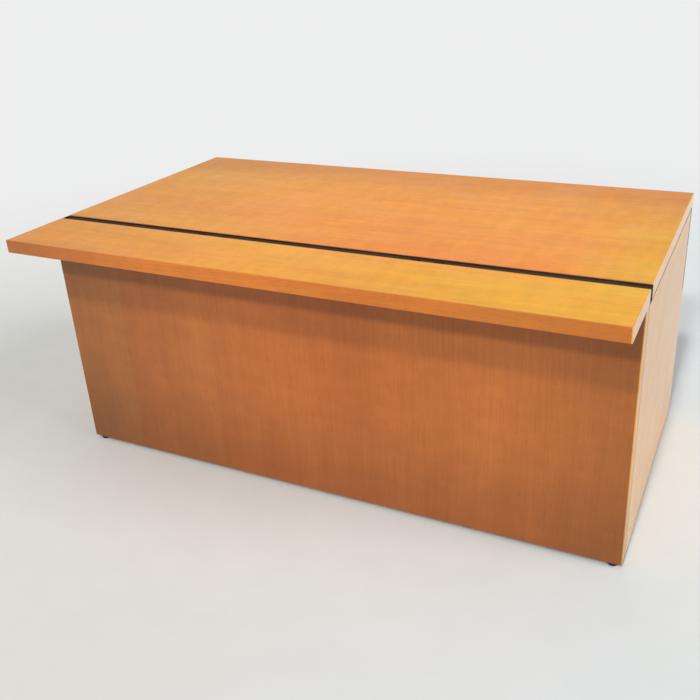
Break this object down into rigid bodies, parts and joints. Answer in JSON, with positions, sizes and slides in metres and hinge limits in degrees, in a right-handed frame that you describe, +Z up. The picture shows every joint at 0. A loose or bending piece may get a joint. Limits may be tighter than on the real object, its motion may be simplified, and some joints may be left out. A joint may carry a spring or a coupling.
{
  "type": "double pedestal desk",
  "caption": "Veneered office desk with a drawer pedestal at each end, a full-width back panel under a rear overhang, and a lidded cable duct in the slot between its tops.",
  "frame": {"origin": "on the floor, under the middle of the desk", "axes": "+X along the desk, -Y towards the visitor's side, +Y towards the user's side with the drawers, +Z up"},
  "size_m": [1.6, 0.95, 0.7],
  "materials": {
    "veneer_top": "satin lacquered veneer, grain along the desk",
    "veneer_upright": "satin lacquered veneer, upright grain",
    "veneer_front": "satin lacquered veneer, upright grain",
    "carcass_board": "plain lacquered board",
    "drawer_wood": "pale sanded board",
    "duct_metal": "black powder coat",
    "cap_plastic": "matt black",
    "tray_metal": "dark powder coat",
    "steel": "zinc plated",
    "pull_metal": "dark brown anodised",
    "foot_plastic": "matt black",
    "lock_metal": "satin nickel"
  },
  "bodies": {
    "carcass": {"main_top": "veneer_top", "rear_top": "veneer_top", "overhang_bars": "steel", "top_screws": "steel", "back_panel": "veneer_upright", "cable_duct": "duct_metal", "duct_end_caps": "cap_plastic", "cable_tray": "tray_metal", "centre_rails": "steel", "foot_sockets": "steel", "left_outer_side": "veneer_upright", "left_inner_side": "veneer_upright", "left_base": "carcass_board", "left_back": "carcass_board", "left_deck": "carcass_board", "left_rails": "steel", "right_outer_side": "veneer_upright", "right_inner_side": "veneer_upright", "right_base": "carcass_board", "right_back": "carcass_board", "right_deck": "carcass_board", "right_rails": "steel"},
    "lid": {"duct_lid": "duct_metal"},
    "left_upper_drawer": {"left_upper_front": "veneer_front", "left_upper_box": "drawer_wood", "left_upper_runners": "steel", "left_upper_pull": "pull_metal"},
    "left_middle_drawer": {"left_middle_front": "veneer_front", "left_middle_box": "drawer_wood", "left_middle_runners": "steel", "left_middle_pull": "pull_metal"},
    "left_file_drawer": {"left_file_front": "veneer_front", "left_file_box": "drawer_wood", "left_file_runners": "steel"},
    "left_file_slider": {"left_file_sliders": "steel"},
    "right_upper_drawer": {"right_upper_front": "veneer_front", "right_upper_box": "drawer_wood", "right_upper_runners": "steel", "right_upper_pull": "pull_metal"},
    "right_middle_drawer": {"right_middle_front": "veneer_front", "right_middle_box": "drawer_wood", "right_middle_runners": "steel", "right_middle_pull": "pull_metal"},
    "right_file_drawer": {"right_file_front": "veneer_front", "right_file_box": "drawer_wood", "right_file_runners": "steel"},
    "right_file_slider": {"right_file_sliders": "steel"},
    "centre_drawer": {"centre_front": "veneer_front", "centre_box": "drawer_wood", "centre_runners": "steel"},
    "left_lock_cylinder": {"left_lock": "lock_metal"},
    "right_lock_cylinder": {"right_lock": "lock_metal"},
    "centre_lock_cylinder": {"centre_lock": "lock_metal"},
    "back_left_foot": {"foot_back_left": "foot_plastic"},
    "outer_left_foot": {"foot_outer_left": "foot_plastic"},
    "inner_left_foot": {"foot_inner_left": "foot_plastic"},
    "back_right_foot": {"foot_back_right": "foot_plastic"},
    "outer_right_foot": {"foot_outer_right": "foot_plastic"},
    "inner_right_foot": {"foot_inner_right": "foot_plastic"}
  },
  "joints": [
    {"name": "lid_lift", "type": "slide", "parent": "carcass", "child": "lid", "axis": [0, 0, 1], "range_m": [0, 0.06]},
    {"name": "left_upper_slide", "type": "slide", "parent": "carcass", "child": "left_upper_drawer", "axis": [0, 1, 0], "range_m": [0, 0.4]},
    {"name": "left_middle_slide", "type": "slide", "parent": "carcass", "child": "left_middle_drawer", "axis": [0, 1, 0], "range_m": [0, 0.4]},
    {"name": "left_file_slide", "type": "slide", "parent": "carcass", "child": "left_file_drawer", "axis": [0, 1, 0], "range_m": [0, 0.52]},
    {"name": "left_file_slider_slide", "type": "slide", "parent": "carcass", "child": "left_file_slider", "axis": [0, 1, 0], "range_m": [0, 0.26]},
    {"name": "right_upper_slide", "type": "slide", "parent": "carcass", "child": "right_upper_drawer", "axis": [0, 1, 0], "range_m": [0, 0.4]},
    {"name": "right_middle_slide", "type": "slide", "parent": "carcass", "child": "right_middle_drawer", "axis": [0, 1, 0], "range_m": [0, 0.4]},
    {"name": "right_file_slide", "type": "slide", "parent": "carcass", "child": "right_file_drawer", "axis": [0, 1, 0], "range_m": [0, 0.52]},
    {"name": "right_file_slider_slide", "type": "slide", "parent": "carcass", "child": "right_file_slider", "axis": [0, 1, 0], "range_m": [0, 0.26]},
    {"name": "centre_slide", "type": "slide", "parent": "carcass", "child": "centre_drawer", "axis": [0, 1, 0], "range_m": [0, 0.29]},
    {"name": "left_lock_turn", "type": "hinge", "parent": "left_upper_drawer", "child": "left_lock_cylinder", "pos_m": [-0.588, 0.45, 0.63], "axis": [0, 1, 0], "range_deg": [0, 90]},
    {"name": "right_lock_turn", "type": "hinge", "parent": "right_upper_drawer", "child": "right_lock_cylinder", "pos_m": [0.588, 0.45, 0.63], "axis": [0, 1, 0], "range_deg": [0, 90]},
    {"name": "centre_lock_turn", "type": "hinge", "parent": "centre_drawer", "child": "centre_lock_cylinder", "pos_m": [0, 0.45, 0.644], "axis": [0, 1, 0], "range_deg": [0, 90]},
    {"name": "back_left_foot_turn", "type": "hinge", "parent": "carcass", "child": "back_left_foot", "pos_m": [-0.776, -0.292, 0.02], "axis": [0, 0, 1], "continuous": true},
    {"name": "outer_left_foot_turn", "type": "hinge", "parent": "carcass", "child": "outer_left_foot", "pos_m": [-0.784, 0.422, 0.02], "axis": [0, 0, 1], "continuous": true},
    {"name": "inner_left_foot_turn", "type": "hinge", "parent": "carcass", "child": "inner_left_foot", "pos_m": [-0.39, 0.422, 0.02], "axis": [0, 0, 1], "continuous": true},
    {"name": "back_right_foot_turn", "type": "hinge", "parent": "carcass", "child": "back_right_foot", "pos_m": [0.776, -0.292, 0.02], "axis": [0, 0, 1], "continuous": true},
    {"name": "outer_right_foot_turn", "type": "hinge", "parent": "carcass", "child": "outer_right_foot", "pos_m": [0.784, 0.422, 0.02], "axis": [0, 0, 1], "continuous": true},
    {"name": "inner_right_foot_turn", "type": "hinge", "parent": "carcass", "child": "inner_right_foot", "pos_m": [0.39, 0.422, 0.02], "axis": [0, 0, 1], "continuous": true}
  ],
  "couplings": [
    {"joint": "left_file_slider_slide", "follows": "left_file_slide", "ratio": 0.5},
    {"joint": "right_file_slider_slide", "follows": "right_file_slide", "ratio": 0.5}
  ]
}
